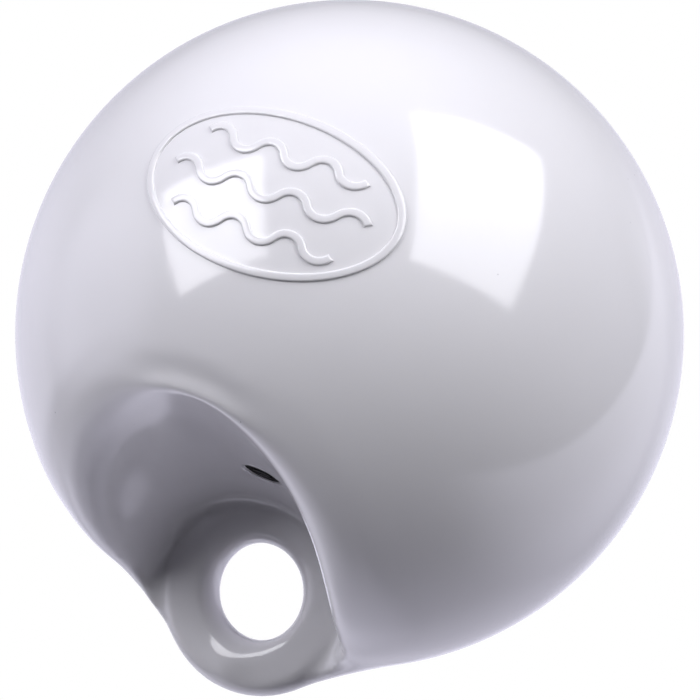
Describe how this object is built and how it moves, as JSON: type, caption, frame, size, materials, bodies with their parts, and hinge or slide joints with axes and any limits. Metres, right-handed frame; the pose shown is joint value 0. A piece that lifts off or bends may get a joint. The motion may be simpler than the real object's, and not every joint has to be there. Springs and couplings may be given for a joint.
{
  "type": "mooring buoy",
  "caption": "Round inflatable mooring buoy of moulded vinyl, with a solid rope eye between two scooped pockets and a rubber inflation valve closed by a pull-out plug.",
  "frame": {"origin": "centre of the rope eye's hole, in the parting plane of the moulding", "axes": "+Z from the rope eye to the crown of the ball, +Y along the eye's hole, -Y the front, where the valve and the emblem are"},
  "size_m": [0.2286, 0.2289, 0.2447],
  "materials": {
    "shell_vinyl": "glossy white rotationally moulded vinyl",
    "valve_rubber": "black moulded rubber",
    "core_rubber": "soft black natural rubber",
    "plug_plastic": "black moulded nylon"
  },
  "bodies": {
    "buoy": {"shell": "shell_vinyl", "valve_body": "valve_rubber", "valve_core": "core_rubber"},
    "plug": {"valve_plug": "plug_plastic"}
  },
  "joints": [
    {"name": "plug_pull", "type": "slide", "parent": "buoy", "child": "plug", "axis": [0, -0.2907, -0.9568], "range_m": [0, 0.007]}
  ]
}
